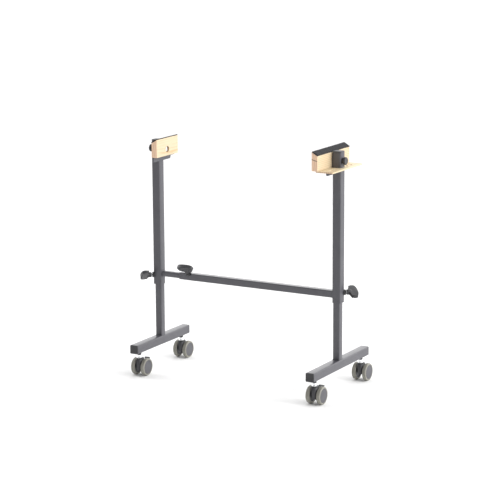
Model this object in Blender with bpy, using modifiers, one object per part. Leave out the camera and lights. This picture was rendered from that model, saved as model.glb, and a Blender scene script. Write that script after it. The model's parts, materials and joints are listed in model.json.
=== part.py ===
"""Rolling stand for a table-top xylophone, adjustable in height and in width.

Two T-shaped legs of square steel tube telescope up and down, and a telescoping crossbar joins
them. Each leg carries a sloped wooden rest block, and the wide leg a small plywood shelf. The
instrument itself isn't part of the stand.

Frame: +X runs from the narrow (treble) leg to the wide (bass) leg, +Y to the rear and +Z up, in
metres. The floor is z = 0 and the origin is half way between the two posts.
"""

import math

import bmesh
import bpy
from mathutils import Matrix, Vector

MM = 0.001
GAP = 0.3 * MM  # left between two pieces that touch
UP = Vector((0, 0, 1))

# Posts: a lower tube that stands on the foot, inside an upper tube
POST_X = 290 * MM
POST_SIZE = 25 * MM
POST_RADIUS = 2.5 * MM
LOWER_SIZE = 20 * MM
LOWER_RADIUS = 2 * MM
WALL = 1.5 * MM
LOWER_TOP = 461 * MM
UPPER_LENGTH = 419.5 * MM
UPPER_BOTTOM = {"left": 248.1 * MM, "right": 256.9 * MM}  # the wide leg stands a little higher
CLAMP_SHIFT = 0.7 * MM  # how far a clamp screw pushes the inner tube off centre

# Heights on an upper tube, from its lower end
CLAMP_RISE = 27.5 * MM
BLOCK_RISE = 377 * MM
BOLT_RISE = 395.3 * MM
TONGUE_RISE = 408.5 * MM

# Feet
FOOT_BOTTOM = 70 * MM
FOOT_TOP = FOOT_BOTTOM + POST_SIZE
FOOT_HALF = {"left": 142.4 * MM, "right": 167.2 * MM}
STEM_INSET = 28 * MM
CAP_PLATE = 2.2 * MM
CAP_PLUG = 8 * MM

# Crossbar: an inner tube from the left post, inside an outer tube from the right post
BAR_Z = 280 * MM
BAR_SIZE = 20 * MM
BAR_RADIUS = 2 * MM
BAR_INNER_SIZE = 15 * MM
BAR_INNER_RADIUS = 1.5 * MM
BAR_OUTER_START = -216.5 * MM
BAR_INNER_LENGTH = 350 * MM
BAR_CLAMP_X = -184.5 * MM

# Clamp nuts, welded into a tube's corner, and the screws of the wing knobs
SCREW_R = 4 * MM
SCREW_BORE_R = SCREW_R + GAP
NUT_FLATS = 13 * MM
NUT_LENGTH = 7 * MM

# Wing knob, along its own screw
POST_KNOB_START = 24.6 * MM  # from the tube's axis to the knob's hub
BAR_KNOB_START = 23 * MM
KNOB_LENGTH = 31 * MM
KNOB_HUB_R = 7.5 * MM
WING_HALF_SPAN = 23.5 * MM
WING_RIM = 24 * MM  # where the wing's dome meets its blunt ends
WING_THICKNESS = 9.5 * MM

# Rest blocks on the heads of the posts
BLOCK_THICKNESS = 17.5 * MM
BLOCK_INNER_HEIGHT = 51.7 * MM
BLOCK_OUTER_HEIGHT = 41.5 * MM
BLOCK_OFFSET = 3 * MM  # between a block and the post
BLOCK_HALF = {"left": 56.8 * MM, "right": 95 * MM}
BLOCK_EDGE = 0.8 * MM
PAD_THICKNESS = 2.5 * MM
COUNTERBORE_R = 8.4 * MM
COUNTERBORE_DEPTH = 8.5 * MM
BOLT_HEAD = 5.3 * MM
HEAD_KNOB_R = 10.75 * MM
HEAD_KNOB_NECK_R = 8 * MM
HEAD_KNOB_NECK = 4 * MM
HEAD_KNOB_LENGTH = 11 * MM

# Brackets under the rest blocks
BRACKET_SHEET = 2.4 * MM
BRACKET_HALF = 45 * MM
BRACKET_LEG = 15 * MM
BRACKET_CORNER = 5 * MM
TONGUE_HALF = 11 * MM
TONGUE_CORNER = 3 * MM

# Shelf outside the right block
SHELF_THICKNESS = 4.3 * MM
SHELF_INNER_X = 265 * MM
SHELF_OUTER_X = 317 * MM
SHELF_HALF = 87.5 * MM
SHELF_HOLE_X = 298 * MM
SHELF_HOLES_Y = (-58 * MM, -31 * MM, 31 * MM, 58 * MM)
SHELF_HOLE_R = 4.75 * MM
SHELF_SCREW_Y = (-70 * MM, 70 * MM)
SHELF_SCREW_R = 1.75 * MM
COUNTERSINK_R = 4.3 * MM
SHELF_SCREW_LENGTH = 16 * MM

# Twin-wheel casters; the axle trails behind the stem
TRAIL = 12.3 * MM
WHEEL_R = 25 * MM
WHEEL_SHOULDER = 3.2 * MM
TYRE_INNER_R = 20.15 * MM
HUB_R = TYRE_INNER_R - GAP
WHEEL_INNER_X = 10.3 * MM
WHEEL_OUTER_X = 22.3 * MM
HOUSING_TOP = 53 * MM
HOUSING_BOTTOM = {"front": 15.5 * MM, "rear": 20.5 * MM}
COLUMN_R = 9 * MM
COLUMN_TIP_R = 7.6 * MM
COLUMN_TAPER = 4 * MM
WEB_R = 18.5 * MM
WEB_HALF = 7 * MM
WEB_BOTTOM = 17 * MM
AXLE_R = 3 * MM
AXLE_HALF = 18 * MM
STEM_R = 4 * MM
STEM_BOTTOM = 25 * MM
STEM_TOP = 91 * MM
WASHER_R = 7.6 * MM
WASHER_THICKNESS = 2.5 * MM
SOCKET_BOTTOM = 62 * MM
SOCKET_BUSH_R = 6 * MM
SOCKET_FLANGE_R = 7 * MM

# Brake pedal, from the caster's stem
PEDAL_PIVOT_Y = 21.5 * MM
PEDAL_PIVOT_Z = 34 * MM
PEDAL_TAB_Y = (39 * MM, 45 * MM)
PEDAL_TAB_Z = (41.4 * MM, 45.4 * MM)
PEDAL_TAB_HALF = 8 * MM
PEDAL_ARM_HALF = 3 * MM
PEDAL_HUB_R = 4 * MM
TRUNNION_R = 1.8 * MM

STAND = "xylophone_stand"
CUTTERS = "cutters"
SIDES = {"left": -1, "right": 1}
ENDS = {"front": -1, "rear": 1}
# Each knob's wing is turned by this much about its screw
WING_TURN = {"left": math.radians(34), "right": math.radians(-24), "bar": math.radians(-2)}

MATERIALS = {
    "powder_coat": ((0.085, 0.085, 0.095, 1), 0.42, 0.3),
    "pine": ((0.82, 0.66, 0.42, 1), 0.55, 0.0),
    "plywood": ((0.86, 0.76, 0.56, 1), 0.6, 0.0),
    "felt": ((0.025, 0.025, 0.028, 1), 0.95, 0.0),
    "black_plastic": ((0.03, 0.03, 0.033, 1), 0.45, 0.0),
    "caster_plastic": ((0.075, 0.075, 0.082, 1), 0.5, 0.0),
    "tread_rubber": ((0.36, 0.36, 0.31, 1), 0.6, 0.0),
    "zinc": ((0.72, 0.72, 0.74, 1), 0.3, 1.0),
}


# ---------------------------------------------------------------- helpers


def clear_scene():
    """Empties the scene, and adds the collections for the stand and for its cutters."""
    for obj in list(bpy.data.objects):
        bpy.data.objects.remove(obj, do_unlink=True)
    for name in (STAND, CUTTERS):
        collection = bpy.data.collections.new(name)
        bpy.context.scene.collection.children.link(collection)
    bpy.data.collections[CUTTERS].hide_render = True


def make_material(name):
    colour, roughness, metallic = MATERIALS[name]
    material = bpy.data.materials.new(name)
    material.use_nodes = True
    shader = material.node_tree.nodes["Principled BSDF"]
    shader.inputs["Base Color"].default_value = colour
    shader.inputs["Roughness"].default_value = roughness
    shader.inputs["Metallic"].default_value = metallic
    material.diffuse_color = colour
    return material


def material_for(name):
    return bpy.data.materials.get(name) or make_material(name)


def add(name, mesh, material, matrix=Matrix(), parent=None):
    """A node: an object of this mesh at a place in the world, under a parent."""
    obj = bpy.data.objects.new(name, mesh)
    bpy.data.collections[STAND].objects.link(obj)
    obj.data.materials.append(material_for(material))
    obj.matrix_world = matrix
    if parent:
        obj.parent = parent
        obj.matrix_parent_inverse = parent.matrix_world.inverted()
    return obj


def joint_empty(name, place, parent=None):
    """An empty on a joint's axis, which the moving pieces hang under."""
    empty = bpy.data.objects.new(name, None)
    empty.empty_display_size = 20 * MM
    bpy.data.collections[STAND].objects.link(empty)
    empty.location = place
    bpy.context.view_layer.update()
    if parent:
        empty.parent = parent
        empty.matrix_parent_inverse = parent.matrix_world.inverted()
        bpy.context.view_layer.update()
    return empty


def helper(name, mesh, matrix=Matrix()):
    """An object that only feeds a Boolean, in the hidden collection."""
    obj = bpy.data.objects.new(name, mesh)
    bpy.data.collections[CUTTERS].objects.link(obj)
    obj.matrix_world = matrix
    obj.hide_render = True
    obj.display_type = "WIRE"
    return obj


def boolean(target, other, operation="DIFFERENCE"):
    modifier = target.modifiers.new(other.name, "BOOLEAN")
    modifier.operation = operation
    modifier.solver = "EXACT"
    modifier.object = other


def bevel(obj, width, segments=2, angle=30):
    modifier = obj.modifiers.new("rounded edges", "BEVEL")
    modifier.width = width
    modifier.segments = segments
    modifier.limit_method = "ANGLE"
    modifier.angle_limit = math.radians(angle)


def circle(radius, count=24, centre=(0, 0), phase=0.0):
    angles = [phase + 2 * math.pi * i / count for i in range(count)]
    return [(centre[0] + radius * math.cos(a), centre[1] + radius * math.sin(a)) for a in angles]


def arc(centre, radius, start, end, steps):
    """Points of an arc from start to end, in degrees."""
    angles = [math.radians(start + (end - start) * i / steps) for i in range(steps + 1)]
    return [(centre[0] + radius * math.cos(a), centre[1] + radius * math.sin(a)) for a in angles]


def rounded_rectangle(width, height, radius, centre=(0, 0), steps=3):
    points = []
    for quarter, (sx, sy) in enumerate(((1, 1), (-1, 1), (-1, -1), (1, -1))):
        corner = (
            centre[0] + sx * (width / 2 - radius),
            centre[1] + sy * (height / 2 - radius),
        )
        points += arc(corner, radius, 90 * quarter, 90 * quarter + 90, steps)
    return points


def rectangle(x_range, y_range):
    (x0, x1), (y0, y1) = x_range, y_range
    return [(x0, y0), (x1, y0), (x1, y1), (x0, y1)]


def plate(name, outlines, thickness):
    """A mesh with this outline, and the later outlines as holes, centred on z = 0."""
    curve = bpy.data.curves.new(name, "CURVE")
    curve.dimensions = "2D"
    curve.fill_mode = "BOTH"
    curve.extrude = thickness / 2
    for outline in outlines:
        spline = curve.splines.new("POLY")
        spline.points.add(len(outline) - 1)
        for point, (x, y) in zip(spline.points, outline):
            point.co = (x, y, 0, 1)
        spline.use_cyclic_u = True
    source = bpy.data.objects.new(name, curve)
    bpy.context.scene.collection.objects.link(source)
    graph = bpy.context.evaluated_depsgraph_get()
    mesh = bpy.data.meshes.new_from_object(source.evaluated_get(graph))
    bpy.data.objects.remove(source, do_unlink=True)
    shape = bmesh.new()
    shape.from_mesh(mesh)
    bmesh.ops.remove_doubles(shape, verts=shape.verts, dist=1e-6)
    bmesh.ops.recalc_face_normals(shape, faces=shape.faces)
    shape.to_mesh(mesh)
    shape.free()
    mesh.name = name
    return mesh


def tube_mesh(name, size, radius, length):
    """A square tube along Z, centred on the origin."""
    outer = rounded_rectangle(size, size, radius)
    bore = rounded_rectangle(size - 2 * WALL, size - 2 * WALL, radius - WALL)
    return plate(name, [outer, bore], length)


def cylinder_mesh(name, radius, length, count=24, top_radius=None):
    """A cylinder along Z, centred on the origin, or a cone with another radius on top."""
    mesh = bpy.data.meshes.new(name)
    shape = bmesh.new()
    bmesh.ops.create_cone(
        shape,
        cap_ends=True,
        segments=count,
        radius1=radius,
        radius2=radius if top_radius is None else top_radius,
        depth=length,
    )
    shape.to_mesh(mesh)
    shape.free()
    mesh.shade_smooth()
    mesh.set_sharp_from_angle(angle=math.radians(35))
    return mesh


def box_mesh(name, x_range, y_range, z_range):
    mesh = bpy.data.meshes.new(name)
    shape = bmesh.new()
    size = [high - low for low, high in (x_range, y_range, z_range)]
    centre = [(high + low) / 2 for low, high in (x_range, y_range, z_range)]
    bmesh.ops.create_cube(shape, size=1)
    bmesh.ops.scale(shape, vec=size, verts=shape.verts)
    bmesh.ops.translate(shape, vec=centre, verts=shape.verts)
    shape.to_mesh(mesh)
    shape.free()
    return mesh


def profile_mesh(name, points, ring=False):
    """A profile of (radius, height) points for lathe(), running down its outer side."""
    edges = [(i, i + 1) for i in range(len(points) - 1)]
    if ring:
        edges.append((len(points) - 1, 0))
    mesh = bpy.data.meshes.new(name)
    mesh.from_pydata([(radius, 0, height) for radius, height in points], edges, [])
    return mesh


def lathe(obj, steps=28):
    """Turns the object's profile round its own Z."""
    modifier = obj.modifiers.new("turned", "SCREW")
    modifier.axis = "Z"
    modifier.steps = steps
    modifier.render_steps = steps
    modifier.use_merge_vertices = True
    modifier.merge_threshold = 0.02 * MM
    modifier.use_smooth_shade = True


def along(place, direction, across=None):
    """A matrix at a place whose Z is the direction, and whose X is across."""
    z_axis = Vector(direction).normalized()
    x_axis = Vector(across) if across else z_axis.orthogonal()
    x_axis = (x_axis - z_axis * x_axis.dot(z_axis)).normalized()
    y_axis = z_axis.cross(x_axis)
    rotation = Matrix((x_axis, y_axis, z_axis)).transposed().to_4x4()
    return Matrix.Translation(place) @ rotation


def standing_in_xz(y=0.0):
    """Stands a plate up, so that its outline is in X and Z and its thickness along Y."""
    return Matrix.Translation((0, y, 0)) @ Matrix.Rotation(math.radians(90), 4, "X")


def standing_in_yz(x=0.0):
    """Stands a plate up, so that its outline is in Y and Z and its thickness along X."""
    return along((x, 0, 0), (1, 0, 0), (0, 1, 0))


# ---------------------------------------------------------------- tubes, feet and crossbar


def clamp_directions():
    """The way that each clamp screw points out of its tube, and the level way across it."""
    return {
        "left": (Vector((-1, -1, 0)).normalized(), Vector((1, -1, 0)).normalized()),
        "right": (Vector((1, 1, 0)).normalized(), Vector((1, -1, 0)).normalized()),
        "bar": (Vector((0, -1, 1)).normalized(), Vector((1, 0, 0))),
    }


def corner_distance(size, radius):
    """From a square tube's axis to the outside of its rounded corner."""
    return size / math.sqrt(2) - (math.sqrt(2) - 1) * radius


def nut_start(inner_size, inner_radius):
    """From the tube's axis to the inner face of its clamp nut."""
    pushed = corner_distance(inner_size, inner_radius) - math.sqrt(2) * CLAMP_SHIFT
    return pushed + 2 * GAP


def weld_nut(tube, clamp_name, place, inner_size, inner_radius):
    """Joins a clamp nut to a tube's corner, and drills its hole on into the tube."""
    direction, level = clamp_directions()[clamp_name]
    start = nut_start(inner_size, inner_radius)
    hexagon = circle(NUT_FLATS / math.sqrt(3), 6)
    centre = Vector(place) + direction * (start + NUT_LENGTH / 2)
    matrix = along(centre, direction, level)
    nut = plate("clamp_nut", [hexagon], NUT_LENGTH)
    boolean(tube, helper(f"{tube.name}_nut", nut, matrix), "UNION")
    drill = cylinder_mesh("nut_drill", SCREW_BORE_R, 2 * NUT_LENGTH, 16)
    boolean(tube, helper(f"{tube.name}_nut_drill", drill, matrix))


def on_post(side, rise):
    """The point on an upper tube's axis that is this far above the tube's lower end."""
    return Vector((SIDES[side] * POST_X, 0, UPPER_BOTTOM[side] + rise))


def post(side, base, top):
    """The two telescoping tubes of one leg."""
    sign = SIDES[side]
    lower_bottom = FOOT_TOP + GAP
    lower = tube_mesh("lower_post", LOWER_SIZE, LOWER_RADIUS, LOWER_TOP - lower_bottom)
    shift = -sign * CLAMP_SHIFT
    place = (sign * POST_X + shift, shift, (LOWER_TOP + lower_bottom) / 2)
    add(f"{side}_lower_post", lower, "powder_coat", Matrix.Translation(place), base)

    upper = tube_mesh("upper_post", POST_SIZE, POST_RADIUS, UPPER_LENGTH)
    place = on_post(side, UPPER_LENGTH / 2)
    node = add(f"{side}_upper_post", upper, "powder_coat", Matrix.Translation(place), top)
    weld_nut(node, side, on_post(side, CLAMP_RISE), LOWER_SIZE, LOWER_RADIUS)
    drill = cylinder_mesh("post_drill", SCREW_BORE_R, 2 * POST_SIZE, 16)
    place = on_post(side, BOLT_RISE)
    boolean(node, helper(f"{side}_post_drill", drill, along(place, (1, 0, 0))))


def tube_cap(name, place, parent):
    """A plastic plug with a flush plate. The Z of its place points out of the tube's end."""
    plug_size = POST_SIZE - 2 * WALL - 2 * GAP
    middle = GAP + CAP_PLATE / 2
    face = plate(name, [rounded_rectangle(POST_SIZE, POST_SIZE, POST_RADIUS)], CAP_PLATE)
    face_place = place @ Matrix.Translation((0, 0, middle))
    node = add(name, face, "black_plastic", face_place, parent)
    outline = rounded_rectangle(plug_size, plug_size, POST_RADIUS - WALL)
    plug_place = place @ Matrix.Translation((0, 0, middle - CAP_PLUG / 2))
    plug = plate(f"{name}_plug", [outline], CAP_PLUG)
    boolean(node, helper(f"{name}_plug", plug, plug_place), "UNION")


def stem_places(side):
    """Where the two casters of a foot stand, front then rear."""
    half = FOOT_HALF[side] - STEM_INSET
    return [Vector((SIDES[side] * POST_X, end * half, 0)) for end in ENDS.values()]


def foot(side, base):
    """The tube along the floor with its end caps, caster sockets and caster stems."""
    sign = SIDES[side]
    length = 2 * (FOOT_HALF[side] - CAP_PLATE - GAP)
    centre = Vector((sign * POST_X, 0, FOOT_BOTTOM + POST_SIZE / 2))
    mesh = tube_mesh("foot_tube", POST_SIZE, POST_RADIUS, length)
    node = add(f"{side}_foot_tube", mesh, "powder_coat", along(centre, (0, 1, 0), (1, 0, 0)), base)
    for end, place in zip(ENDS, stem_places(side)):
        name = f"{side}_{end}_socket_hole"
        drill = cylinder_mesh(name, SOCKET_BUSH_R + GAP, 2 * GAP + 4 * WALL, 20)
        boolean(node, helper(name, drill, Matrix.Translation((place.x, place.y, FOOT_BOTTOM))))

    for end, way in ENDS.items():
        tube_end = centre + Vector((0, way * length / 2, 0))
        tube_cap(f"{side}_foot_{end}_cap", along(tube_end, (0, way, 0), (1, 0, 0)), base)
    for end, place in zip(ENDS, stem_places(side)):
        socket_and_stem(f"{side}_{end}_caster", place, base)


def socket_and_stem(name, place, base):
    """A plastic socket pressed into the foot, and the steel stem and washer of its caster."""
    matrix = Matrix.Translation(place)
    flange = FOOT_BOTTOM - GAP
    bore = STEM_R + GAP
    socket = [
        (SOCKET_BUSH_R, STEM_TOP),
        (SOCKET_BUSH_R, flange),
        (SOCKET_FLANGE_R, flange),
        (SOCKET_FLANGE_R, flange - 1.2 * MM),
        (5.5 * MM, SOCKET_BOTTOM),
        (bore, SOCKET_BOTTOM),
        (bore, STEM_TOP),
    ]
    mesh = profile_mesh("caster_socket", socket, True)
    lathe(add(f"{name}_socket", mesh, "black_plastic", matrix, base), 14)
    washer = HOUSING_TOP + GAP
    stem = [
        (0, STEM_TOP + 2 * MM),
        (STEM_R - 1 * MM, STEM_TOP + 2 * MM),
        (STEM_R, STEM_TOP + 1 * MM),
        (STEM_R, washer + WASHER_THICKNESS),
        (WASHER_R - 0.5 * MM, washer + WASHER_THICKNESS),
        (WASHER_R, washer + WASHER_THICKNESS - 0.5 * MM),
        (WASHER_R, washer),
        (STEM_R, washer),
        (STEM_R, STEM_BOTTOM),
        (0, STEM_BOTTOM),
    ]
    lathe(add(f"{name}_stem", profile_mesh("caster_stem", stem), "zinc", matrix, base), 14)


def crossbar(left_top, right_top):
    """The width-adjusting bar: its outer tube is on the right leg, its inner tube on the left."""
    face = POST_X - POST_SIZE / 2 - GAP
    length = face - BAR_OUTER_START
    mesh = tube_mesh("bar_outer", BAR_SIZE, BAR_RADIUS, length)
    place = along((face - length / 2, 0, BAR_Z), (1, 0, 0), (0, 1, 0))
    outer = add("crossbar_outer_tube", mesh, "powder_coat", place, right_top)
    weld_nut(outer, "bar", (BAR_CLAMP_X, 0, BAR_Z), BAR_INNER_SIZE, BAR_INNER_RADIUS)

    mesh = tube_mesh("bar_inner", BAR_INNER_SIZE, BAR_INNER_RADIUS, BAR_INNER_LENGTH)
    middle = (-face + BAR_INNER_LENGTH / 2, CLAMP_SHIFT, BAR_Z - CLAMP_SHIFT)
    place = along(middle, (1, 0, 0), (0, 1, 0))
    add("crossbar_inner_tube", mesh, "powder_coat", place, left_top)


# ---------------------------------------------------------------- clamps


def wing_outline():
    """The wing's fan outline, in the knob's X and Z, from the start of its hub."""
    base = 6.5 * MM
    base_height = 9 * MM
    end_height = 13 * MM
    dome = []
    count = 10
    for i in range(count + 1):
        angle = math.pi * i / count
        height = WING_RIM + (KNOB_LENGTH - WING_RIM) * math.sin(angle)
        dome.append((WING_HALF_SPAN * math.cos(angle), height))
    right = [(base, base_height), (WING_HALF_SPAN, end_height)]
    left = [(-x, z) for x, z in reversed(right)]
    return right + dome + left


def wing_knob(name, place, inner_size, inner_radius, hub_start, parent):
    """The knob whose screw runs through a clamp nut and presses on the inner tube's corner."""
    direction, level = clamp_directions()[name]
    owner = "crossbar" if name == "bar" else f"{name}_post"
    start = nut_start(inner_size, inner_radius)
    turn = WING_TURN[name]
    across = level * math.cos(turn) + upright(direction, level) * math.sin(turn)
    matrix = along(Vector(place) + direction * hub_start, direction, across)
    joint = joint_empty(f"{owner}_knob_joint", matrix.translation, parent)
    tip = start - GAP - hub_start
    profile = [
        (0, KNOB_LENGTH - 4 * MM),
        (4.5 * MM, KNOB_LENGTH - 5 * MM),
        (KNOB_HUB_R - 0.5 * MM, 12 * MM),
        (KNOB_HUB_R, 1 * MM),
        (KNOB_HUB_R - 1 * MM, 0),
        (SCREW_R, 0),
        (SCREW_R, tip + 1 * MM),
        (SCREW_R - 1 * MM, tip),
        (0, tip),
    ]
    node = add(
        f"{owner}_wing_knob", profile_mesh("wing_knob", profile), "black_plastic", matrix, joint
    )
    lathe(node, 16)
    wing = helper(
        f"{owner}_wing",
        plate("wing", [wing_outline()], WING_THICKNESS),
        matrix @ Matrix.Rotation(math.radians(90), 4, "X"),
    )
    bevel(wing, 2.5 * MM, 2, 50)
    boolean(node, wing, "UNION")


def upright(direction, level):
    """The way across a clamp screw that is square to its level way and points up."""
    across = direction.cross(level)
    return across if across.z > 0 else -across


# ---------------------------------------------------------------- heads of the posts


def bracket_top(side):
    """The underside of what the bracket carries: the block, or the shelf under the block."""
    shelf_thickness = SHELF_THICKNESS if side == "right" else 0
    return on_post(side, BLOCK_RISE).z - GAP - shelf_thickness


def bracket(side, top):
    """A steel angle under the block, with a tongue up the post that the bolt holds."""
    sign = SIDES[side]
    face = POST_X - POST_SIZE / 2 - GAP
    level = bracket_top(side)
    low = level - BRACKET_LEG
    half = BRACKET_HALF
    right = arc((half - BRACKET_CORNER, low + BRACKET_CORNER), BRACKET_CORNER, -90, 0, 4)
    shoulder = level - 0.4 * MM
    right += [(half - 0.2 * MM, shoulder), (TONGUE_HALF, shoulder)]
    corner = (TONGUE_HALF - TONGUE_CORNER, on_post(side, TONGUE_RISE).z - TONGUE_CORNER)
    right += arc(corner, TONGUE_CORNER, 0, 90, 4)
    outline = right + [(-y, z) for y, z in reversed(right)]
    hole = circle(SCREW_BORE_R, 20, (0, on_post(side, BOLT_RISE).z))
    upright_plate = plate(f"{side}_bracket", [outline, hole], BRACKET_SHEET)
    matrix = standing_in_yz(sign * (face - BRACKET_SHEET / 2))
    node = add(f"{side}_bracket", upright_plate, "powder_coat", matrix, top)
    reach = sorted((sign * (face - BRACKET_LEG), sign * (face - BRACKET_SHEET / 2)))
    flat = box_mesh(f"{side}_ledge", reach, (-half, half), (level - BRACKET_SHEET, level))
    boolean(node, helper(f"{side}_ledge", flat), "UNION")


def rest_block(side, top):
    """The sloped wooden block and the soft pad along its top."""
    sign = SIDES[side]
    outer_x = sign * (POST_X - POST_SIZE / 2 - BLOCK_OFFSET)
    inner_x = outer_x - sign * BLOCK_THICKNESS
    bottom = on_post(side, BLOCK_RISE).z
    bolt_z = on_post(side, BOLT_RISE).z
    inner_top = bottom + BLOCK_INNER_HEIGHT
    outer_top = bottom + BLOCK_OUTER_HEIGHT
    outline = [
        (inner_x, bottom),
        (outer_x, bottom),
        (outer_x, outer_top),
        (inner_x, inner_top),
    ]
    length = 2 * BLOCK_HALF[side]
    mesh = plate("rest_block", [outline], length)
    node = add(f"{side}_rest_block", mesh, "pine", standing_in_xz(), top)
    bevel(node, BLOCK_EDGE, 2)
    drill = cylinder_mesh("block_drill", SCREW_BORE_R, 3 * BLOCK_THICKNESS, 16)
    middle = (outer_x, 0, bolt_z)
    boolean(node, helper(f"{side}_block_drill", drill, along(middle, (1, 0, 0))))
    depth = 2 * COUNTERBORE_DEPTH
    cutter = cylinder_mesh("counterbore", COUNTERBORE_R, depth, 24)
    boolean(node, helper(f"{side}_counterbore", cutter, along((inner_x, 0, bolt_z), (1, 0, 0))))

    slope = Vector((outer_x - inner_x, 0, outer_top - inner_top))
    normal = Vector((-slope.z, 0, slope.x)) * sign
    middle = Vector(((outer_x + inner_x) / 2, 0, (outer_top + inner_top) / 2))
    middle += normal.normalized() * (GAP + PAD_THICKNESS / 2)
    outline = rounded_rectangle(slope.length, length, 0.8 * MM)
    pad = plate("rest_pad", [outline], PAD_THICKNESS)
    add(f"{side}_rest_pad", pad, "felt", along(middle, normal, slope), top)

    if side == "right":
        for y in SHELF_SCREW_Y:
            name = f"shelf_screw_pilot_{SHELF_SCREW_Y.index(y)}"
            pilot = cylinder_mesh(name, SHELF_SCREW_R + GAP, 2 * SHELF_SCREW_LENGTH, 10)
            place = Matrix.Translation((shelf_screw_x(), y, bottom))
            boolean(node, helper(name, pilot, place))


def shelf_screw_x():
    """Half way along the strip of shelf that is under the block."""
    return (SHELF_INNER_X + POST_X - POST_SIZE / 2 - BLOCK_OFFSET) / 2


def head_bolt(side, top):
    """The bolt through the block, the bracket's tongue and the post, and its round knob."""
    sign = SIDES[side]
    outward = (sign, 0, 0)
    seat = POST_X - POST_SIZE / 2 - BLOCK_OFFSET - BLOCK_THICKNESS + COUNTERBORE_DEPTH - GAP
    knob_face = POST_X + POST_SIZE / 2 + GAP
    knob_end = knob_face + HEAD_KNOB_LENGTH
    tip = knob_end - 4 * MM
    bolt_z = on_post(side, BOLT_RISE).z
    hexagon = circle(NUT_FLATS / math.sqrt(3), 6, phase=math.radians(30))
    place = along((sign * (seat - BOLT_HEAD / 2), 0, bolt_z), outward, UP)
    node = add(f"{side}_block_bolt", plate("bolt_head", [hexagon], BOLT_HEAD), "zinc", place, top)
    bevel(node, 0.5 * MM, 1, 80)
    overlap = 2 * MM
    length = tip - seat + overlap
    shank = cylinder_mesh("bolt_shank", SCREW_R, length, 16)
    place = along((sign * (tip - length / 2), 0, bolt_z), outward, UP)
    boolean(node, helper(f"{side}_bolt_shank", shank, place), "UNION")

    joint = joint_empty(f"{side}_block_knob_joint", (sign * knob_face, 0, bolt_z), top)
    head = HEAD_KNOB_LENGTH
    bore = SCREW_BORE_R
    profile = [
        (0, head),
        (HEAD_KNOB_R - 2 * MM, head),
        (HEAD_KNOB_R - 0.6 * MM, head - 0.6 * MM),
        (HEAD_KNOB_R, head - 2 * MM),
        (HEAD_KNOB_R, HEAD_KNOB_NECK + 1 * MM),
        (HEAD_KNOB_R - 1 * MM, HEAD_KNOB_NECK),
        (HEAD_KNOB_NECK_R, HEAD_KNOB_NECK),
        (HEAD_KNOB_NECK_R, 0),
        (bore, 0),
        (bore, head - 3 * MM),
        (0, head - 3 * MM),
    ]
    place = along((sign * knob_face, 0, bolt_z), outward, UP)
    mesh = profile_mesh("block_knob", profile)
    lathe(add(f"{side}_block_knob", mesh, "black_plastic", place, joint), 20)


def shelf(top):
    """The plywood shelf that the right post comes up through."""
    width = SHELF_OUTER_X - SHELF_INNER_X
    middle_x = (SHELF_OUTER_X + SHELF_INNER_X) / 2
    thickness = SHELF_THICKNESS - GAP
    outline = rounded_rectangle(width, 2 * SHELF_HALF, 2 * MM, (middle_x, 0))
    block_face = POST_X - POST_SIZE / 2 - BLOCK_OFFSET
    half = POST_SIZE / 2 + GAP
    slot = rectangle((block_face, POST_X + half), (-half, half))
    holes = [circle(SHELF_HOLE_R, 16, (SHELF_HOLE_X, y)) for y in SHELF_HOLES_Y]
    screw_x = shelf_screw_x()
    screw_holes = [circle(SHELF_SCREW_R + GAP, 10, (screw_x, y)) for y in SHELF_SCREW_Y]
    mesh = plate("shelf", [outline, slot, *holes, *screw_holes], thickness)
    low = on_post("right", BLOCK_RISE).z - GAP - thickness
    place = Matrix.Translation((0, 0, low + thickness / 2))
    node = add("right_shelf", mesh, "plywood", place, top)
    for index, y in enumerate(SHELF_SCREW_Y):
        name = f"countersink_{index}"
        cutter = cylinder_mesh(name, COUNTERSINK_R, 4 * MM, 14, SHELF_SCREW_R * 0.6)
        place = Matrix.Translation((screw_x, y, low + 1.6 * MM))
        boolean(node, helper(name, cutter, place))


# ---------------------------------------------------------------- casters


def web_outline(bottom):
    """The side view of a caster's housing behind its stem, in Y and Z from the stem's axis."""
    centre = (TRAIL, WHEEL_R)
    points = [(0, HOUSING_TOP), (0, bottom + 1 * MM), (TRAIL + 6 * MM, WEB_BOTTOM)]
    points += arc(centre, WEB_R, -10, 62, 6)
    points += [(TRAIL - 1 * MM, HOUSING_TOP)]
    return points


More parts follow.
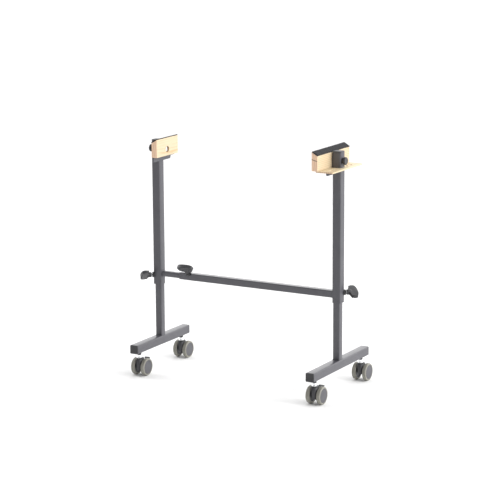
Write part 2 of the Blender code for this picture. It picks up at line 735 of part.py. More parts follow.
def caster(side, end, place, base):
    """A twin-wheel caster: housing and axle that swivel, and two wheels. The front ones brake."""
    name = f"{side}_{end}_caster"
    swivel = joint_empty(f"{name}_swivel", place, base)
    origin = Matrix.Translation(place)
    bottom = HOUSING_BOTTOM[end]
    column_profile = [
        (0, HOUSING_TOP),
        (COLUMN_R - 0.6 * MM, HOUSING_TOP),
        (COLUMN_R, HOUSING_TOP - 0.6 * MM),
        (COLUMN_R, bottom + COLUMN_TAPER),
        (COLUMN_TIP_R, bottom),
        (0, bottom),
    ]
    mesh = profile_mesh("caster_housing", column_profile)
    housing = add(f"{name}_housing", mesh, "caster_plastic", origin, swivel)
    lathe(housing, 16)
    web = plate("web", [web_outline(bottom)], 2 * WEB_HALF)
    boolean(housing, helper(f"{name}_web", web, origin @ standing_in_yz()), "UNION")
    depth = HOUSING_TOP - STEM_BOTTOM + 1 * MM
    drill = cylinder_mesh("stem_bore", STEM_R + GAP, 2 * depth, 16)
    top_place = origin @ Matrix.Translation((0, 0, HOUSING_TOP))
    boolean(housing, helper(f"{name}_stem_bore", drill, top_place))
    axle_centre = Vector(place) + Vector((0, TRAIL, WHEEL_R))
    drill = cylinder_mesh("axle_bore", AXLE_R + GAP, 4 * WEB_HALF, 12)
    boolean(housing, helper(f"{name}_axle_bore", drill, along(axle_centre, (1, 0, 0))))

    axle = cylinder_mesh("caster_axle", AXLE_R, 2 * AXLE_HALF, 12)
    add(f"{name}_axle", axle, "zinc", along(axle_centre, (1, 0, 0)), swivel)
    for wheel, sign in SIDES.items():
        caster_wheel(f"{name}_{wheel}", axle_centre, sign, swivel)
    if end == "front":
        brake_pedal(name, housing, place, swivel)


def caster_wheel(name, centre, sign, swivel):
    """One wheel: a flat disc hub inside a rounded soft tyre."""
    spin = joint_empty(f"{name}_wheel_joint", centre, swivel)
    matrix = along(centre, (sign, 0, 0), UP)
    inside, outside = WHEEL_INNER_X, WHEEL_OUTER_X
    shoulder = WHEEL_SHOULDER
    tyre = [(TYRE_INNER_R, outside - 0.4 * MM), (TYRE_INNER_R + 0.8 * MM, outside)]
    for centre_z, start in ((outside - shoulder, 90), (inside + shoulder, 0)):
        corner = (WHEEL_R - shoulder, centre_z)
        tyre += arc(corner, shoulder, start, start - 90, 2)
    tyre += [(TYRE_INNER_R, inside)]
    node = add(f"{name}_tyre", profile_mesh("tyre", tyre, True), "tread_rubber", matrix, spin)
    lathe(node, 26)
    bore = AXLE_R + GAP
    hub = [
        (0, outside),
        (HUB_R - 0.6 * MM, outside),
        (HUB_R, outside - 0.6 * MM),
        (HUB_R, inside + 0.5 * MM),
        (bore, inside + 0.5 * MM),
        (bore, AXLE_HALF + 0.5 * MM),
        (0, AXLE_HALF + 0.5 * MM),
    ]
    node = add(f"{name}_hub", profile_mesh("hub", hub), "caster_plastic", matrix, spin)
    lathe(node, 26)


def brake_pedal(name, housing, place, swivel):
    """The tab behind the wheels that is pressed down to brake them."""
    pivot = Vector(place) + Vector((0, PEDAL_PIVOT_Y, PEDAL_PIVOT_Z))
    slot_half = PEDAL_ARM_HALF + GAP
    clearance = PEDAL_HUB_R + 0.8 * MM
    depths = (PEDAL_PIVOT_Y - clearance, TRAIL + 2 * WEB_R)
    heights = (PEDAL_PIVOT_Z - clearance, HOUSING_TOP + 5 * MM)
    slot = box_mesh("slot", (-slot_half, slot_half), depths, heights)
    boolean(housing, helper(f"{name}_slot", slot, Matrix.Translation(place)))
    drill = cylinder_mesh("trunnion_bore", TRUNNION_R + GAP, 4 * WEB_HALF, 10)
    boolean(housing, helper(f"{name}_trunnion_bore", drill, along(pivot, (1, 0, 0))))

    joint = joint_empty(f"{name}_brake_joint", pivot, swivel)
    tab_low, tab_high = (z - PEDAL_PIVOT_Z for z in PEDAL_TAB_Z)
    tab_near, tab_far = (y - PEDAL_PIVOT_Y for y in PEDAL_TAB_Y)
    outline = arc((0, 0), PEDAL_HUB_R, 75, 285, 6)
    outline += [(tab_near + 2 * MM, tab_low), (tab_near + 2 * MM, tab_high)]
    mesh = plate("brake_pedal", [outline], 2 * PEDAL_ARM_HALF)
    matrix = along(pivot, (1, 0, 0), (0, 1, 0))
    node = add(f"{name}_brake_pedal", mesh, "caster_plastic", matrix, joint)
    tab_size = (tab_far - tab_near, 2 * PEDAL_TAB_HALF)
    middle = Vector((0, (tab_far + tab_near) / 2, (tab_high + tab_low) / 2))
    tab = plate("tab", [rounded_rectangle(*tab_size, 1.5 * MM)], tab_high - tab_low)
    turn = Matrix.Rotation(math.radians(90), 4, "Z")
    boolean(node, helper(f"{name}_tab", tab, Matrix.Translation(pivot + middle) @ turn), "UNION")
    pin = cylinder_mesh("trunnion", TRUNNION_R, 2 * (WEB_HALF - GAP), 10)
    boolean(node, helper(f"{name}_trunnion", pin, along(pivot, (1, 0, 0))), "UNION")


# ---------------------------------------------------------------- assembly


def build():
    clear_scene()
    left_base = joint_empty("left_base", (-POST_X, 0, 0))
    left_top = joint_empty("left_height_joint", (-POST_X, 0, BAR_Z), left_base)
    right_top = joint_empty("width_joint", (0, 0, BAR_Z), left_top)
    right_base = joint_empty("right_height_joint", (POST_X, 0, BAR_Z), right_top)
    bases = {"left": left_base, "right": right_base}
    tops = {"left": left_top, "right": right_top}
    for side in SIDES:
        foot(side, bases[side])
        post(side, bases[side], tops[side])
        clamp = on_post(side, CLAMP_RISE)
        wing_knob(side, clamp, LOWER_SIZE, LOWER_RADIUS, POST_KNOB_START, tops[side])
        bracket(side, tops[side])
        rest_block(side, tops[side])
        head_bolt(side, tops[side])
        for end, stem in zip(ENDS, stem_places(side)):
            caster(side, end, stem, bases[side])
    shelf(right_top)
    crossbar(left_top, right_top)
    place = (BAR_CLAMP_X, 0, BAR_Z)
    wing_knob("bar", place, BAR_INNER_SIZE, BAR_INNER_RADIUS, BAR_KNOB_START, right_top)


build()
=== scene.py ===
"""The looks of the rolling xylophone stand: fine surfaces, materials, studio and camera.

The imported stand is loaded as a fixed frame. Its tubes, brackets, blocks and fittings are rebuilt
from it with rounded edges. The wheels, wing knobs, pads and small trim are made anew.
Everything is in metres, +X to the wide leg, +Y to the rear and +Z up, on the floor z = 0.
"""

import json
import math

import bmesh
import bpy
from mathutils import Matrix, Vector


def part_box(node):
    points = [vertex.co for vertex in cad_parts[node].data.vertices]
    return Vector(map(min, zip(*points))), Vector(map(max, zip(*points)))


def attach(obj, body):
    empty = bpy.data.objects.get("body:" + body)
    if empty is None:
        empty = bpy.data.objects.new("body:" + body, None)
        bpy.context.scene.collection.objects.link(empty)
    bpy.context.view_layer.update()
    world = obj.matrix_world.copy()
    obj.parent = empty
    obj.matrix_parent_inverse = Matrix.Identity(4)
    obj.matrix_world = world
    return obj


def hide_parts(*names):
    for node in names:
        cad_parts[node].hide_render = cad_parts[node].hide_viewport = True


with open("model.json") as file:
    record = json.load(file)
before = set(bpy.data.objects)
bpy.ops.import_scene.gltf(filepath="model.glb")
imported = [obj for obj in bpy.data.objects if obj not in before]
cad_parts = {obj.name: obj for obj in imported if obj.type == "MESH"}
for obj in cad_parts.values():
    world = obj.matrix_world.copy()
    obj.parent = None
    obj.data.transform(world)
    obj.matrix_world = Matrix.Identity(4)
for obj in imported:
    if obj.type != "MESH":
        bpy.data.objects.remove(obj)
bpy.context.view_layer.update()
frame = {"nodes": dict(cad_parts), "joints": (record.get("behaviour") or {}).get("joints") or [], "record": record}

MM = 0.001
UP = Vector((0, 0, 1))
SIDES = {"left": -1, "right": 1}
ENDS = ("front", "rear")
JOINTS = {joint["name"]: joint for joint in frame["joints"]}
BODY_OF = {
    node: body
    for body, nodes in frame["record"]["behaviour"]["bodies"].items()
    for node in nodes
}

# Camera
CAMERA_PLACE = Vector((2.7335, -4.7728, 1.5286))
CAMERA_AZIMUTH = math.radians(29.695)
CAMERA_ELEVATION = math.radians(11.842)
CAMERA_ROLL = math.radians(-0.3087)
CAMERA_LENS = 144
CAMERA_SENSOR = 36

# End grain of the wood
END_BAND_WIDTH = 6 * MM
END_BAND_LEAN = 0.12
KNOT_HEIGHT = 32 * MM
KNOT_WIDTH = 3 * MM
KNOT_WOBBLE = 1.2 * MM
KNOT_FALL = 0.26
# How far from the bolt's axis the wood inside the counterbore gets painted shade
COUNTERBORE_SHADE_R = 8.8 * MM

# Wing knobs, measured along the screw from the start of the hub
WING_TURN = {"left": math.radians(34), "right": math.radians(-24), "width": math.radians(2)}
KNOB_LENGTH = 31 * MM
WING_HALF_SPAN = 23.5 * MM
WING_RIM = 24 * MM
WING_THICKNESS = 9.5 * MM
WING_EDGE = 2.6 * MM
WING_ROOT = (6.5 * MM, 4 * MM)
WING_CORNER_R = 2 * MM
WING_CORNER_HEIGHT = 14.6 * MM
KNOB_HUB_R = 7.5 * MM
KNOB_HUB_EDGE = 0.8 * MM
KNOB_HUB_HEIGHTS = (9 * MM, 12 * MM, 15.6 * MM, 16 * MM)
HUB_SOCKET_DEPTH = 3 * MM

# Clamp screws, and the collars round them on the nuts
SCREW_R = 4 * MM
SCREW_PITCH = 1.25 * MM
THREAD_DEPTH = 0.55 * MM
SCREW_START = 2.5 * MM
COLLAR_R = 7.9 * MM
COLLAR_LENGTH = 8 * MM
COLLAR_EDGE = 1.6 * MM
COLLAR_GAP = {"left": 2.6 * MM, "right": 2.6 * MM, "width": 2.2 * MM}

# Round knobs on the posts' outer faces
HEAD_KNOB_NECK_R = 8 * MM
HEAD_KNOB_NECK = 4 * MM
HEAD_KNOB_RIM = 2.2 * MM
HEAD_KNOB_HEEL = 1 * MM
HEAD_KNOB_BORE_R = 4.3 * MM
HEAD_KNOB_TOP = 3 * MM

# Casters
TYRE_SHOULDER = 3.4 * MM
HUB_GAP = 0.3 * MM
HUB_SETBACK = 0.15 * MM
HUB_EDGE = 0.8 * MM
HUB_BORE_R = 3.3 * MM
SWIVEL_RING_R = 9.5 * MM
SWIVEL_RING_INNER_R = 7 * MM
SWIVEL_RING_DEPTH = 3 * MM

# Caps in the tops of the posts
POST_CAP_PLATE = 2 * MM
POST_CAP_EDGE = 0.7 * MM
POST_CORNER_R = 2.5 * MM
POST_PLUG_DEPTH = 8 * MM
POST_PLUG_SHRINK = 3.7 * MM

# Wood screws under the shelf
SHELF_SCREW_Y = (-70 * MM, 70 * MM)
SHELF_SCREW_LENGTH = 16 * MM
SHELF_SCREW_R = 1.7 * MM
SHELF_SCREW_HEAD_R = 3.3 * MM

# Weld beads
WELD_R = 1.1 * MM
WELD_SPACING = 1.6 * MM
WELD_STANDOFF = 0.3 * MM
BAR_SIZE = 20 * MM

# How bright the studio's walls and ceiling are, and its floor and side lights
ROOM_FRONT = -0.15
ROOM_BACK = 3.0
ROOM_RIGHT = 1.2
CEILING_FRONT = 0.35
CEILING_BACK = 1.65
CEILING_HEIGHT = 0.85
FLOOR_SIZE = 30
# Each light's place, target, size and power
LIGHTS = {
    "right": ((3.2, 0.5, 1.9), (0, 0, 0.3), (0.9, 0.9), 34),
    "left": ((-3.0, 0.2, 1.7), (0, 0, 0.2), (0.8, 0.8), 26),
}


def middle_of(node):
    """The middle of a node's box."""
    low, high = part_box(node)
    return (low + high) / 2


def add_object(name, data):
    """A new object in the scene."""
    obj = bpy.data.objects.new(name, data)
    bpy.context.scene.collection.objects.link(obj)
    return obj


# ---------------------------------------------------------------- shader helpers


def new_material(name, roughness, metallic=0.0, specular=0.5):
    """A material, its node tree and its Principled shader."""
    material = bpy.data.materials.new(name)
    material.use_nodes = True
    shader = material.node_tree.nodes["Principled BSDF"]
    shader.inputs["Roughness"].default_value = roughness
    shader.inputs["Metallic"].default_value = metallic
    shader.inputs["Specular IOR Level"].default_value = specular
    return material, material.node_tree, shader


def put(tree, value, socket):
    """Sets a socket to a value, or links another node's output into it."""
    if isinstance(value, bpy.types.NodeSocket):
        tree.links.new(value, socket)
    else:
        socket.default_value = value


def texture_vector(tree, output="Object"):
    """One of the texture coordinates; "Object" is the object's own, in metres."""
    return tree.nodes.new("ShaderNodeTexCoord").outputs[output]


def axes(tree, vector):
    """The X, Y and Z of a vector."""
    node = tree.nodes.new("ShaderNodeSeparateXYZ")
    tree.links.new(vector, node.inputs["Vector"])
    return node.outputs


def coordinates(tree, scale=(1, 1, 1), place=(0, 0, 0)):
    """The object's own coordinates, scaled and moved."""
    mapping = tree.nodes.new("ShaderNodeMapping")
    tree.links.new(texture_vector(tree), mapping.inputs["Vector"])
    mapping.inputs["Scale"].default_value = scale
    mapping.inputs["Location"].default_value = place
    return mapping.outputs["Vector"]


def noise(tree, vector, scale, detail=3.0, distortion=0.0):
    """The grey of a noise texture."""
    node = tree.nodes.new("ShaderNodeTexNoise")
    tree.links.new(vector, node.inputs["Vector"])
    node.inputs["Scale"].default_value = scale
    node.inputs["Detail"].default_value = detail
    node.inputs["Distortion"].default_value = distortion
    return node.outputs["Fac"]


def ramp(tree, factor, *stops):
    """A colour ramp through (position, grey or colour) stops."""
    node = tree.nodes.new("ShaderNodeValToRGB")
    tree.links.new(factor, node.inputs["Fac"])
    elements = node.color_ramp.elements
    while len(elements) < len(stops):
        elements.new(0.5)
    for element, (position, colour) in zip(elements, stops):
        element.position = position
        grey = isinstance(colour, (int, float))
        element.color = (colour, colour, colour, 1) if grey else (*colour, 1)
    return node.outputs["Color"]


def mix(tree, factor, first, second, blend="MIX"):
    """Two colours mixed by a factor."""
    node = tree.nodes.new("ShaderNodeMix")
    node.data_type = "RGBA"
    node.blend_type = blend
    put(tree, factor, node.inputs["Factor"])
    put(tree, first, node.inputs["A"])
    put(tree, second, node.inputs["B"])
    return node.outputs["Result"]


def math_node(tree, operation, first, second=0.0):
    """The result of an operation on one or two values."""
    node = tree.nodes.new("ShaderNodeMath")
    node.operation = operation
    put(tree, first, node.inputs[0])
    put(tree, second, node.inputs[1])
    return node.outputs["Value"]


def map_range(tree, value, low, high, start=0):
    """Maps a factor from start..1 to low..high."""
    node = tree.nodes.new("ShaderNodeMapRange")
    tree.links.new(value, node.inputs["Value"])
    node.inputs["From Min"].default_value = start
    node.inputs["To Min"].default_value = low
    node.inputs["To Max"].default_value = high
    return node.outputs["Result"]


def bump(tree, shader, height, strength, distance):
    """Gives a shader a relief, whose full depth is the distance in metres."""
    node = tree.nodes.new("ShaderNodeBump")
    node.inputs["Strength"].default_value = strength
    node.inputs["Distance"].default_value = distance
    tree.links.new(height, node.inputs["Height"])
    tree.links.new(node.outputs["Normal"], shader.inputs["Normal"])


# ---------------------------------------------------------------- materials


def powder_coat():
    """Anthracite powder coat: a fine orange peel, and slightly cloudy gloss."""
    material, tree, shader = new_material("powder_coat", 0.42)
    vector = coordinates(tree)
    cloud = noise(tree, vector, 35, 4)
    peel = noise(tree, vector, 1500, 2)
    fleck = noise(tree, vector, 5200, 1)
    base = ramp(tree, cloud, (0.3, (0.076, 0.075, 0.087)), (0.7, (0.090, 0.089, 0.101)))
    light = ramp(tree, fleck, (0.62, 0.0), (0.72, 1.0))
    colour = mix(tree, light, base, (0.13, 0.13, 0.14, 1))
    tree.links.new(colour, shader.inputs["Base Color"])
    tree.links.new(map_range(tree, cloud, 0.26, 0.36), shader.inputs["Roughness"])
    bump(tree, shader, peel, 0.25, 0.00008)
    return material


def wood(name, pale, deep, end_pale, end_deep, pith, ring_width, figure, knot=0.0, hole=None):
    """Softwood along Y: rings round its pith, pinker ends in upright bands, an end knot, and painted shade inside
    a bolt's counterbore.
    """
    material, tree, shader = new_material(name, 0.5, 0.0, 0.4)
    place = (-pith[0], 0, -pith[1])
    vector = coordinates(tree, place=place)
    stretched = coordinates(tree, (1, 0.16, 1), place=place)
    sway = noise(tree, stretched, 22, 3, 0.6)
    from_pith = axes(tree, vector)
    squares = [math_node(tree, "POWER", from_pith[axis], 2) for axis in ("X", "Z")]
    radius = math_node(tree, "SQRT", math_node(tree, "ADD", *squares))
    wavy = math_node(tree, "ADD", radius, math_node(tree, "MULTIPLY", sway, figure))
    rings = math_node(tree, "FRACT", math_node(tree, "DIVIDE", wavy, ring_width))
    late = ramp(tree, rings, (0.0, 0.05), (0.55, 0.15), (0.86, 0.9), (0.93, 1.0), (1.0, 0.05))
    streak = noise(tree, coordinates(tree, (1, 0.02, 1)), 900, 2)
    patch = noise(tree, coordinates(tree, (1, 0.35, 1)), 14, 2)
    strength = math_node(tree, "MULTIPLY", late, ramp(tree, patch, (0.35, 0.15), (0.7, 0.95)))
    grain = mix(tree, strength, (*pale, 1), (*deep, 1))
    fibre = ramp(tree, streak, (0.3, 0.93), (0.7, 1.0))
    grain = mix(tree, 1.0, grain, fibre, "MULTIPLY")
    lean = math_node(tree, "MULTIPLY", from_pith["Z"], END_BAND_LEAN)
    bands = math_node(tree, "ADD", from_pith["X"], lean)
    bands = math_node(tree, "ADD", bands, math_node(tree, "MULTIPLY", sway, 2 * MM))
    bands = math_node(tree, "FRACT", math_node(tree, "DIVIDE", bands, END_BAND_WIDTH))
    end_rings = ramp(tree, bands, (0.0, 0.1), (0.5, 0.35), (0.8, 1.0), (1.0, 0.1))
    ends = mix(tree, end_rings, (*end_pale, 1), (*end_deep, 1))
    if knot:
        ends = end_knot(tree, ends, knot)
    facing = axes(tree, texture_vector(tree, "Normal"))
    across = math_node(tree, "ABSOLUTE", facing["Y"])
    is_end = ramp(tree, across, (0.6, 0.0), (0.8, 1.0))
    colour = mix(tree, is_end, grain, ends)
    # painted shade: dark brown inside the bolt's counterbore
    if hole:
        colour = counterbore_painted_shade(tree, colour, hole)
    tree.links.new(colour, shader.inputs["Base Color"])
    tree.links.new(map_range(tree, late, 0.5, 0.4), shader.inputs["Roughness"])
    relief = math_node(tree, "ADD", math_node(tree, "MULTIPLY", late, 0.6), streak)
    bump(tree, shader, relief, 0.3, 0.0001)
    return material, tree, shader


def counterbore_painted_shade(tree, colour, hole):
    """Paints shade on the wood inside the bolt's counterbore: a dark brown where the hollow lies in shadow."""
    flat = tree.nodes.new("ShaderNodeVectorMath")
    flat.operation = "MULTIPLY"
    flat.inputs[1].default_value = (0, 1, 1)
    tree.links.new(texture_vector(tree), flat.inputs[0])
    away = tree.nodes.new("ShaderNodeVectorMath")
    away.operation = "DISTANCE"
    away.inputs[1].default_value = (0, hole.y, hole.z)
    tree.links.new(flat.outputs["Vector"], away.inputs[0])
    part = math_node(tree, "DIVIDE", away.outputs["Value"], COUNTERBORE_SHADE_R)
    inside = ramp(tree, part, (0.97, 1.0), (1.0, 0.0))
    return mix(tree, inside, colour, (0.30, 0.17, 0.075, 1))


def end_knot(tree, colour, strength):
    """A dark streak across the end of the wood, falling outwards."""
    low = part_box("right_rest_block")[0]
    place = axes(tree, texture_vector(tree))
    across = math_node(tree, "SUBTRACT", place["X"], low.x)
    fall = math_node(tree, "MULTIPLY", across, KNOT_FALL)
    height = math_node(tree, "ADD", math_node(tree, "SUBTRACT", place["Z"], low.z), fall)
    away = math_node(tree, "ABSOLUTE", math_node(tree, "SUBTRACT", height, KNOT_HEIGHT))
    wobble = noise(tree, coordinates(tree), 300, 2)
    away = math_node(tree, "ADD", away, math_node(tree, "MULTIPLY", wobble, KNOT_WOBBLE))
    part = math_node(tree, "DIVIDE", away, KNOT_WIDTH)
    streak = ramp(tree, part, (0.3, strength), (0.75, 0.0))
    return mix(tree, streak, colour, (0.10, 0.065, 0.06, 1))


def pine(side, pale, pith, figure, knot=0.0):
    """The pine of one side's rest block."""
    material, _, _ = wood(
        f"pine_{side}",
        pale=pale,
        deep=(0.60, 0.34, 0.13),
        end_pale=(0.93, 0.67, 0.48),
        end_deep=(0.68, 0.44, 0.29),
        pith=pith,
        ring_width=4.2 * MM,
        figure=figure,
        knot=knot,
        hole=middle_of(f"{side}_block_bolt"),
    )
    return material


def plywood():
    """Pine-faced plywood, with three plies showing round the edge."""
    material, tree, shader = wood(
        "plywood",
        pale=(0.76, 0.66, 0.46),
        deep=(0.58, 0.33, 0.12),
        end_pale=(0.74, 0.55, 0.38),
        end_deep=(0.60, 0.40, 0.25),
        pith=(0.34, 0.56),
        ring_width=5 * MM,
        figure=22 * MM,
    )
    low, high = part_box("right_shelf")
    place = axes(tree, texture_vector(tree))
    depth = math_node(tree, "SUBTRACT", place["Z"], low.z)
    part = math_node(tree, "DIVIDE", depth, high.z - low.z)
    middle = ramp(
        tree, part, (0.3, 1.0), (0.33, 0.72), (0.36, 0.86), (0.64, 0.86), (0.67, 0.72), (0.7, 1.0)
    )
    face = shader.inputs["Base Color"].links[0].from_socket
    tree.links.new(mix(tree, 1.0, face, middle, "MULTIPLY"), shader.inputs["Base Color"])
    return material


def felt():
    """Dense dark grey felt: pale fibres in a dark ground, and a soft sheen."""
    material, tree, shader = new_material("felt", 0.95, 0.0, 0.2)
    vector = coordinates(tree)
    fibres = noise(tree, vector, 1100, 6, 1.5)
    tufts = noise(tree, vector, 330, 3, 0.5)
    base = ramp(tree, fibres, (0.35, (0.012, 0.012, 0.014)), (0.7, (0.045, 0.045, 0.049)))
    shade = ramp(tree, tufts, (0.35, 0.6), (0.65, 1.25))
    tree.links.new(mix(tree, 1.0, base, shade, "MULTIPLY"), shader.inputs["Base Color"])
    shader.inputs["Sheen Weight"].default_value = 0.05
    shader.inputs["Sheen Roughness"].default_value = 0.6
    height = math_node(tree, "ADD", fibres, tufts)
    bump(tree, shader, height, 0.9, 0.0004)
    return material


def moulded_plastic(name, dark, light, roughness, grain):
    """Moulded plastic with a fine spark-eroded texture."""
    material, tree, shader = new_material(name, roughness)
    vector = coordinates(tree)
    cloud = noise(tree, vector, 60, 3)
    texture = noise(tree, vector, grain, 2)
    tree.links.new(ramp(tree, cloud, (0.3, dark), (0.7, light)), shader.inputs["Base Color"])
    rough = map_range(tree, texture, roughness - 0.06, roughness + 0.08)
    tree.links.new(rough, shader.inputs["Roughness"])
    bump(tree, shader, texture, 0.25, 0.0001)
    return material


def tread_rubber():
    """Soft warm grey tread, a little dusty."""
    material, tree, shader = new_material("tread_rubber", 0.6, 0.0, 0.35)
    vector = coordinates(tree)
    dust = noise(tree, vector, 120, 5, 0.4)
    pores = noise(tree, vector, 2400, 2)
    colour = ramp(tree, dust, (0.3, (0.235, 0.228, 0.196)), (0.7, (0.30, 0.292, 0.255)))
    tree.links.new(colour, shader.inputs["Base Color"])
    tree.links.new(map_range(tree, dust, 0.36, 0.52), shader.inputs["Roughness"])
    bump(tree, shader, pores, 0.2, 0.0001)
    return material


def zinc():
    """Bright zinc plating with faint turning marks."""
    material, tree, shader = new_material("zinc", 0.25, 1.0)
    vector = coordinates(tree)
    cloud = noise(tree, vector, 260, 3)
    marks = noise(tree, coordinates(tree, (1, 1, 14)), 500, 1)
    colour = ramp(tree, cloud, (0.3, (0.86, 0.87, 0.89)), (0.7, (0.94, 0.94, 0.94)))
    tree.links.new(colour, shader.inputs["Base Color"])
    tree.links.new(map_range(tree, cloud, 0.2, 0.34), shader.inputs["Roughness"])
    bump(tree, shader, marks, 0.15, 0.00005)
    return material


MATERIALS = {
    "powder_coat": powder_coat(),
    "pine_left": pine("left", (0.70, 0.575, 0.39), (-0.33, 0.60), 17 * MM),
    "pine_right": pine("right", (0.72, 0.61, 0.425), (0.23, 0.58), 5 * MM, 0.9),
    "plywood": plywood(),
    "felt": felt(),
    "black_plastic": moulded_plastic(
        "black_plastic", (0.030, 0.030, 0.033), (0.042, 0.042, 0.046), 0.42, 2600
    ),
    "caster_plastic": moulded_plastic(
        "caster_plastic", (0.076, 0.075, 0.086), (0.092, 0.091, 0.102), 0.45, 2200
    ),
    "tread_rubber": tread_rubber(),
    "caster_housing": moulded_plastic(
        "caster_housing", (0.040, 0.040, 0.045), (0.052, 0.052, 0.057), 0.38, 2200
    ),
    "black_steel": moulded_plastic(
        "black_steel", (0.006, 0.006, 0.007), (0.012, 0.012, 0.013), 0.26, 1200
    ),
    "zinc": zinc(),
}


# ---------------------------------------------------------------- mesh helpers


def add_piece(name, mesh, slot, body, *replaced, look=None):
    """A piece of the stand: its material, the body it rides on, and the nodes it stands for."""
    obj = add_object(name, mesh)
    obj.data.materials.clear()
    obj.data.materials.append(MATERIALS[look or slot])
    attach(obj, body)
    if replaced:
        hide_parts(*replaced)
    return obj


def smooth(mesh, angle=35):
    """Shades a mesh smooth, with its edges sharp from an angle up."""
    mesh.shade_smooth()
    mesh.set_sharp_from_angle(angle=math.radians(angle))


def finished_mesh(shape, name, angle):
    """A smooth-shaded mesh from a bmesh, which is freed."""
    bmesh.ops.recalc_face_normals(shape, faces=shape.faces)
    mesh = bpy.data.meshes.new(name)
    shape.to_mesh(mesh)
    shape.free()
    smooth(mesh, angle)
    return mesh


def rounded(obj, width, segments=3, angle=40):
    """Rounds an object's sharp edges, and keeps its flat faces flat to the light."""
    modifier = obj.modifiers.new("rounded edges", "BEVEL")
    modifier.width = width
    modifier.segments = segments
    modifier.limit_method = "ANGLE"
    modifier.angle_limit = math.radians(angle)
    modifier.harden_normals = True
    modifier.use_clamp_overlap = True


def from_node(node, slot, edge, segments=3, angle=40, look=None):
    """Rebuilds a node as a clean mesh with rounded edges."""
    shape = bmesh.new()
    shape.from_mesh(frame["nodes"][node].data)
    bmesh.ops.remove_doubles(shape, verts=shape.verts, dist=2e-6)
    bmesh.ops.dissolve_limit(
        shape, angle_limit=math.radians(0.4), verts=shape.verts, edges=shape.edges
    )
    mesh = finished_mesh(shape, f"{node}_fine", angle)
    piece = add_piece(f"{node}_fine", mesh, slot, BODY_OF[node], node, look=look)
    if edge:
        rounded(piece, edge, segments, angle)
    else:
        flatten = piece.modifiers.new("flat faces", "WEIGHTED_NORMAL")
        flatten.keep_sharp = True
    return piece


def along(place, direction, across=None):
    """A matrix at a place whose Z is the direction, and whose X is across."""
    z_axis = Vector(direction).normalized()
    x_axis = Vector(across) if across else z_axis.orthogonal()
    x_axis = (x_axis - z_axis * x_axis.dot(z_axis)).normalized()
    y_axis = z_axis.cross(x_axis)
    rotation = Matrix((x_axis, y_axis, z_axis)).transposed().to_4x4()
    return Matrix.Translation(place) @ rotation


def arc(centre, radius, start, end, steps):
    """Points of an arc from start to end, in degrees."""
    angles = [math.radians(start + (end - start) * i / steps) for i in range(steps + 1)]
    return [(centre[0] + radius * math.cos(a), centre[1] + radius * math.sin(a)) for a in angles]


def turned_mesh(name, profile, matrix, ring=False, steps=72, angle=35):
    """Spins a profile of (radius, height) points round Z, and places it with the matrix."""
    shape = bmesh.new()
    points = [shape.verts.new((radius, 0, height)) for radius, height in profile]
    pairs = list(zip(points, points[1:]))
    if ring:
        pairs.append((points[-1], points[0]))
    edges = [shape.edges.new(pair) for pair in pairs]
    bmesh.ops.spin(
        shape,
        geom=points + edges,
        axis=(0, 0, 1),
        cent=(0, 0, 0),
        angle=2 * math.pi,
        steps=steps,
        use_duplicate=False,
    )
    bmesh.ops.remove_doubles(shape, verts=shape.verts, dist=2e-6)
    mesh = finished_mesh(shape, name, angle)
    mesh.transform(matrix)
    return mesh


def slab_mesh(name, outline, thickness, matrix, edge=0.0, segments=4):
    """An outline in X and Y with a thickness along Z and rounded rims, placed with the matrix."""
    shape = bmesh.new()
    low = [shape.verts.new((x, y, -thickness / 2)) for x, y in outline]
    high = [shape.verts.new((x, y, thickness / 2)) for x, y in outline]
    rims = [shape.faces.new(list(reversed(low))), shape.faces.new(high)]
    for i in range(len(outline)):
        j = (i + 1) % len(outline)
        shape.faces.new((low[i], low[j], high[j], high[i]))
    if edge:
        edges = {e for face in rims for e in face.edges}
        bmesh.ops.bevel(
            shape, geom=list(edges), offset=edge, segments=segments, profile=0.5, affect="EDGES"
        )
    mesh = finished_mesh(shape, name, 50)
    mesh.transform(matrix)
    return mesh


def rounded_rectangle(width, height, radius, steps=5):
    """The outline of a rectangle with rounded corners."""
    points = []
    for quarter, (sx, sy) in enumerate(((1, 1), (-1, 1), (-1, -1), (1, -1))):
        corner = (sx * (width / 2 - radius), sy * (height / 2 - radius))
        points += arc(corner, radius, 90 * quarter, 90 * quarter + 90, steps)
    return points


# ---------------------------------------------------------------- frame, blocks and fittings


def steelwork():
    """Tubes and brackets, with the cut ends of the tubes softened by their coat."""
    for side in SIDES:
        for part in ("upper_post", "lower_post", "foot_tube"):
            from_node(f"{side}_{part}", "powder_coat", 0.35 * MM, 2)
        from_node(f"{side}_bracket", "powder_coat", 0.5 * MM)
    for part in ("crossbar_outer_tube", "crossbar_inner_tube"):
        from_node(part, "powder_coat", 0.35 * MM, 2)


def woodwork():
    """The rest blocks, each with its own grain, and the shelf."""
    for side in SIDES:
        from_node(f"{side}_rest_block", "pine", 0.0, look=f"pine_{side}")
    from_node("right_shelf", "plywood", 0.3 * MM, 2)


def bolts():
    """The bolts through the rest blocks."""
    for side in SIDES:
        from_node(f"{side}_block_bolt", "zinc", 0.25 * MM, 2, 25)


def block_knob(side, sign):
    """The round knob on the outer face of a post."""
    node = f"{side}_block_knob"
    low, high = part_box(node)
    length = high.x - low.x
    face = low.x if sign > 0 else high.x
    centre = Vector((face, 0, (low.z + high.z) / 2))
    radius = (high.z - low.z) / 2
    rim, heel, bore_end = HEAD_KNOB_RIM, HEAD_KNOB_HEEL, length - HEAD_KNOB_TOP
    profile = [(0, length - 0.5 * MM), (radius * 0.45, length - 0.45 * MM)]
    profile += [(radius * 0.6, length - 0.05 * MM)]
    profile += arc((radius - rim, length - rim), rim, 90, 0, 6)
    profile += arc((radius - heel, HEAD_KNOB_NECK + heel), heel, 0, -90, 4)
    profile += [(HEAD_KNOB_NECK_R, HEAD_KNOB_NECK), (HEAD_KNOB_NECK_R, 0)]
    profile += [(HEAD_KNOB_BORE_R, 0), (HEAD_KNOB_BORE_R, bore_end), (0, bore_end)]
    mesh = turned_mesh(f"{node}_fine", profile, along(centre, (sign, 0, 0), UP), steps=60)
    add_piece(f"{node}_fine", mesh, "black_plastic", BODY_OF[node], node)


